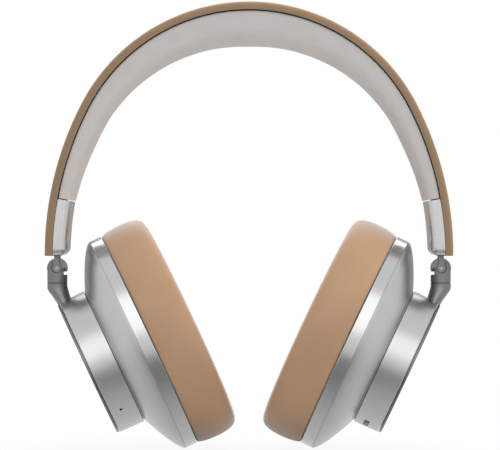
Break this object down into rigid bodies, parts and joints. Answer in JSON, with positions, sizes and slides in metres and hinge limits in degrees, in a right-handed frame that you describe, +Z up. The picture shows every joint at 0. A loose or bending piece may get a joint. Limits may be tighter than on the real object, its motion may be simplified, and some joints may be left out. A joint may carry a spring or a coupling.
{
  "type": "over-ear headphones",
  "caption": "Over-ear headphones with a padded leather headband, curved sliding arms, fold and swivel hinges, round dials and oval leather-cushioned aluminium cups.",
  "frame": {"origin": "middle of the headband pad's underside at the crown, where a head carries the part", "axes": "+X to the side seen on the right from the front, +Y away from the viewer of the front, +Z up"},
  "size_m": [0.1882, 0.0892, 0.2063],
  "materials": {
    "tan_leather": "smooth tan leather",
    "grey_knit": "fine light grey knit",
    "satin_aluminium": "bead blasted and anodised",
    "bright_aluminium": "finely brushed",
    "dark_steel": "satin grey",
    "black_plastic": "moulded, matt",
    "nylon": "natural moulded nylon",
    "circuit_laminate": "green solder mask",
    "diaphragm_film": "thin film with a copper coil"
  },
  "bodies": {
    "headband": {"headband_cover": "tan_leather", "headband_spring": "dark_steel", "headband_liner": "black_plastic", "headband_pad": "grey_knit", "headband_cable": "black_plastic", "band_rivets": "dark_steel", "sleeve_left": "bright_aluminium", "sleeve_right": "bright_aluminium", "slider_guide_left": "nylon", "slider_guide_right": "nylon"},
    "slider_left": {"slider_arm_left": "dark_steel", "fold_pin_left": "dark_steel"},
    "knuckle_left": {"knuckle_left": "dark_steel", "swivel_washer_left": "black_plastic"},
    "cup_left": {"yoke_arm_left": "satin_aluminium", "swivel_pin_left": "dark_steel", "drum_housing_left": "satin_aluminium", "touch_disc_left": "satin_aluminium", "circuit_board_left": "circuit_laminate", "drum_gasket_left": "black_plastic", "cup_shell_left": "satin_aluminium", "rim_ring_left": "bright_aluminium", "baffle_left": "black_plastic", "baffle_screws_left": "dark_steel", "driver_basket_left": "black_plastic", "driver_magnet_left": "dark_steel", "driver_diaphragm_left": "diaphragm_film", "driver_cloth_left": "grey_knit", "cushion_ring_left": "black_plastic", "ear_cushion_left": "tan_leather", "battery_cell": "black_plastic", "mic_mesh": "black_plastic"},
    "dial_left": {"dial_ring_left": "bright_aluminium"},
    "slider_right": {"slider_arm_right": "dark_steel", "fold_pin_right": "dark_steel"},
    "knuckle_right": {"knuckle_right": "dark_steel", "swivel_washer_right": "black_plastic"},
    "cup_right": {"yoke_arm_right": "satin_aluminium", "swivel_pin_right": "dark_steel", "drum_housing_right": "satin_aluminium", "touch_disc_right": "satin_aluminium", "circuit_board_right": "circuit_laminate", "drum_gasket_right": "black_plastic", "cup_shell_right": "satin_aluminium", "rim_ring_right": "bright_aluminium", "baffle_right": "black_plastic", "baffle_screws_right": "dark_steel", "driver_basket_right": "black_plastic", "driver_magnet_right": "dark_steel", "driver_diaphragm_right": "diaphragm_film", "driver_cloth_right": "grey_knit", "cushion_ring_right": "black_plastic", "ear_cushion_right": "tan_leather", "usb_socket": "dark_steel", "jack_socket": "dark_steel"},
    "dial_right": {"dial_ring_right": "bright_aluminium"},
    "assistant_button": {"assistant_button": "dark_steel"},
    "power_slider": {"power_slider": "dark_steel"}
  },
  "joints": [
    {"name": "slide_left", "type": "hinge", "parent": "headband", "child": "slider_left", "pos_m": [0.05683, 0, -0.0972], "axis": [0, 1, 0], "range_deg": [-10, 0]},
    {"name": "fold_left", "type": "hinge", "parent": "slider_left", "child": "knuckle_left", "pos_m": [-0.0891, 0, -0.103], "axis": [0, 1, 0], "range_deg": [-30, 15]},
    {"name": "swivel_left", "type": "hinge", "parent": "knuckle_left", "child": "cup_left", "pos_m": [-0.0891, 0, -0.103], "axis": [0, 0, 1], "range_deg": [-15, 84]},
    {"name": "dial_left", "type": "hinge", "parent": "cup_left", "child": "dial_left", "pos_m": [-0.07528, 0.00145, -0.1499], "axis": [0.9013, 0.0947, 0.4226], "continuous": true},
    {"name": "slide_right", "type": "hinge", "parent": "headband", "child": "slider_right", "pos_m": [-0.05683, 0, -0.0972], "axis": [0, 1, 0], "range_deg": [0, 10]},
    {"name": "fold_right", "type": "hinge", "parent": "slider_right", "child": "knuckle_right", "pos_m": [0.0891, 0, -0.103], "axis": [0, 1, 0], "range_deg": [-15, 30]},
    {"name": "swivel_right", "type": "hinge", "parent": "knuckle_right", "child": "cup_right", "pos_m": [0.0891, 0, -0.103], "axis": [0, 0, 1], "range_deg": [-84, 15]},
    {"name": "dial_right", "type": "hinge", "parent": "cup_right", "child": "dial_right", "pos_m": [0.07528, 0.00145, -0.1499], "axis": [-0.9013, 0.0947, 0.4226], "continuous": true},
    {"name": "assistant_press", "type": "slide", "parent": "cup_left", "child": "assistant_button", "axis": [-0.2843, -0.6066, 0.7424], "range_m": [0, 0.0006], "stiffness_N_per_m": 1500, "springref_m": -0.0004},
    {"name": "power_slide", "type": "hinge", "parent": "cup_right", "child": "power_slider", "pos_m": [0.07528, 0.00145, -0.1499], "axis": [0.9013, -0.0947, -0.4226], "range_deg": [0, 6]}
  ]
}
